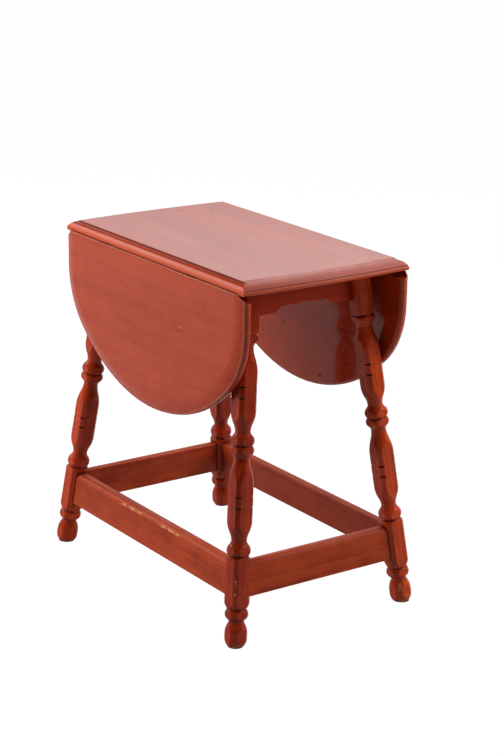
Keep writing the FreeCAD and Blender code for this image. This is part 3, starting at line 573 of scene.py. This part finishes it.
# bare wood pieces under the top
innerLook = dict(
    topLook, pale=(0.5, 0.27, 0.12), deep=(0.34, 0.15, 0.055), pith=(0, 0.02, 0.5), ringWidth=0.004,
    rings=0.4, rubColour=(0.6, 0.36, 0.18), stainColour=(0.12, 0.05, 0.02), gloss=0.62, smudge=0.08,
    relief=0.3, ease=0.0006, thinColour=(0.58, 0.36, 0.18))
bearerShift, blockShift = (0.3, 0.1, 0.2), (0.2, 0.4, 0.3)
for side, sign in sidesY.items():
    bare = woodFinish("bearerWood_" + side, innerLook, alongY, mirrored(bearerShift, sign, 1, 1))
    for name in ("bearer_", "bearer_stop_"):
        dress(name + side, bare)
        easeEdges(name + side, innerLook["ease"])
    for sideX in sidesX:
        corner = side + "_" + sideX
        shift = mirrored(blockShift, sign, 1, 1)
        dressRail("glue_block_" + corner, "blockWood_" + corner, innerLook, upright, shift)
print("inner wood finished")

# hinges, pins and screws
hingeLook = {"bright": (0.2, 0.17, 0.14), "bloom": (0.07, 0.035, 0.02), "amount": 0.75, "gloss": 0.36,
             "rubWidth": 0.0004, "rubReach": 0.8, "rubColour": (0.3, 0.27, 0.23), "relief": 0.25,
             "bumpDepth": 0.0002}
pinLook = dict(hingeLook, bright=(0.3, 0.28, 0.25), amount=0.5, gloss=0.28)
screwLook = dict(hingeLook, bright=(0.32, 0.28, 0.22), amount=0.6, gloss=0.32, relief=0.35)
hingeSteel = metalFinish("hingeSteel", hingeLook, alongX)
pinSteel = metalFinish("pinSteel", pinLook, alongX)
screwSteel = metalFinish("screwSteel", screwLook, alongY)
for name in frame["nodes"]:
    if "plate" in name:
        dress(name, hingeSteel)
    elif "pin" in name:
        dress(name, pinSteel)
    elif "screws" in name:
        dress(name, screwSteel)
print("hardware finished")

# pale studio floor; the camera sees it white, with the table's soft shadow
floorLook = {"reach": 16.0, "paint": (0.4, 0.4, 0.4), "white": 0.98, "shadow": 0.045, "seenInGloss": 0.2}
floorMesh = bpy.data.meshes.new("studioFloor")
reach = floorLook["reach"]
corners = [(-reach, -reach, 0), (reach, -reach, 0), (reach, reach, 0), (-reach, reach, 0)]
floorMesh.from_pydata(corners, [], [(0, 1, 2, 3)])
floor = bpy.data.objects.new("studioFloor", floorMesh)
scene.collection.objects.link(floor)
paint = bpy.data.materials.new("floorPaint")
paint.use_nodes = True
tree = paint.node_tree
tree.nodes.remove(tree.nodes["Principled BSDF"])
ray = put(tree, "LightPath").outputs
pale = put(tree, "BsdfDiffuse", {"Color": floorLook["paint"]}).outputs[0]
glow = put(tree, "Emission", {"Color": (1, 1, 1), "Strength": floorLook["white"]}).outputs[0]
shade = put(tree, "BsdfDiffuse", {"Color": (floorLook["shadow"],) * 3}).outputs[0]
white = put(tree, "AddShader", {0: glow, 1: shade}).outputs[0]
inGloss = maths(tree, "MAXIMUM", ray["Is Glossy Ray"], ray["Is Transmission Ray"])
inGloss = maths(tree, "MULTIPLY", inGloss, floorLook["seenInGloss"])
seen = maths(tree, "MAXIMUM", ray["Is Camera Ray"], inGloss)
surface = put(tree, "MixShader", {0: seen, 1: pale, 2: white}).outputs[0]
tree.links.new(surface, tree.nodes["Material Output"].inputs["Surface"])
floorMesh.materials.append(paint)

# studio air: white to the camera, dim to the object, brighter towards the lit wall behind
airLook = {"dim": 0.06, "wall": 0.7, "wallWay": (-0.82, 0.57, 0.0), "wallSpread": (-0.75, 0.95),
           "wallTop": (0.54, 0.22)}
air = bpy.data.worlds.new("studioAir")
scene.world = air
air.use_nodes = True
tree = air.node_tree
ray = put(tree, "LightPath").outputs
way = vectorMaths(tree, "NORMALIZE", put(tree, "TexCoord").outputs["Generated"])
facing = vectorMaths(tree, "DOT_PRODUCT", way, Vector(airLook["wallWay"]).normalized())
rise = put(tree, "SeparateXYZ", {0: way}).outputs["Z"]
spread = ramp(tree, facing, *airLook["wallSpread"])
lit = maths(tree, "MULTIPLY", spread, ramp(tree, rise, *airLook["wallTop"]))
level = maths(tree, "MULTIPLY_ADD", lit, airLook["wall"], airLook["dim"])
level = maths(tree, "MAXIMUM", level, ray["Is Camera Ray"])
back = tree.nodes["Background"]
feed(tree, back.inputs["Color"], (1, 1, 1))
feed(tree, back.inputs["Strength"], level)
print("floor and air made")


def addLamp(name, look):
    light = bpy.data.lights.new(name, "AREA")
    light.shape = "RECTANGLE"
    light.size, light.size_y = look["size"]
    light.energy = look["power"]
    lamp = bpy.data.objects.new(name, light)
    scene.collection.objects.link(lamp)
    spot = Vector(look["spot"])
    aim = Vector(look["aim"]) - spot
    lamp.matrix_world = Matrix.Translation(spot) @ aim.to_track_quat("-Z", "Y").to_matrix().to_4x4()
    lamp.visible_camera = False
    lamp.visible_diffuse = look["lights"] != "gloss"
    lamp.visible_glossy = look["lights"] != "body"


# wide panels light the body, small ones give the glints, so a level face does not glare from every side
lampLook = {
    "leftPanel": {"spot": (-1.8, -2.25, 1.95), "aim": (0, 0, 0.4), "size": (2.5, 2.5),
        "power": 119, "lights": "body"},
    "leftGlint": {"spot": (-2.5, -1.35, 1.96), "aim": (0, 0, 0.5), "size": (1.1, 1.1),
        "power": 24, "lights": "gloss"},
    "rightPanel": {"spot": (1.5, 2.3, 1.9), "aim": (0, 0, 0.35), "size": (2.4, 2.2),
        "power": 80, "lights": "body"},
    "rightGlint": {"spot": (1.2, 1.9, 2.5), "aim": (0, 0, 0.5), "size": (1.0, 1.0),
        "power": 18, "lights": "gloss"},
    "topPanel": {"spot": (-0.35, 1.25, 2.15), "aim": (0.2, 0, 0.6), "size": (1.8, 1.3),
        "power": 17, "lights": "both"},
    "backPanel": {"spot": (-2.0, 1.4, 1.56), "aim": (0, 0, 0.6), "size": (2.4, 0.8),
        "power": 5.2, "lights": "both"}}
for name, look in lampLook.items():
    addLamp(name, look)

# camera at the viewing angle of the picture
cameraLook = {"spot": (2.73294, -1.87187, 1.3798), "turn": 54.95, "tilt": 17.208, "roll": 0.885,
              "lens": 95.9009, "sensor": 36.0, "farthest": 60.0}
turn, tilt, roll = (math.radians(cameraLook[k]) for k in ("turn", "tilt", "roll"))
backWay = Vector((math.sin(turn) * math.cos(tilt), -math.cos(turn) * math.cos(tilt), math.sin(tilt)))
levelWay = (-backWay).cross(Vector(upright)).normalized()
upWay = levelWay.cross(-backWay)
rightWay = levelWay * math.cos(roll) + upWay * math.sin(roll)
upWay = -levelWay * math.sin(roll) + upWay * math.cos(roll)
lens = bpy.data.cameras.new("viewCamera")
lens.lens = cameraLook["lens"]
lens.sensor_width = cameraLook["sensor"]
lens.clip_end = cameraLook["farthest"]
viewCamera = bpy.data.objects.new("viewCamera", lens)
scene.collection.objects.link(viewCamera)
turnMatrix = Matrix((rightWay, upWay, backWay)).transposed().to_4x4()
viewCamera.matrix_world = Matrix.Translation(Vector(cameraLook["spot"])) @ turnMatrix
scene.camera = viewCamera
print("lamps and camera set")

bpy.context.view_layer.update()
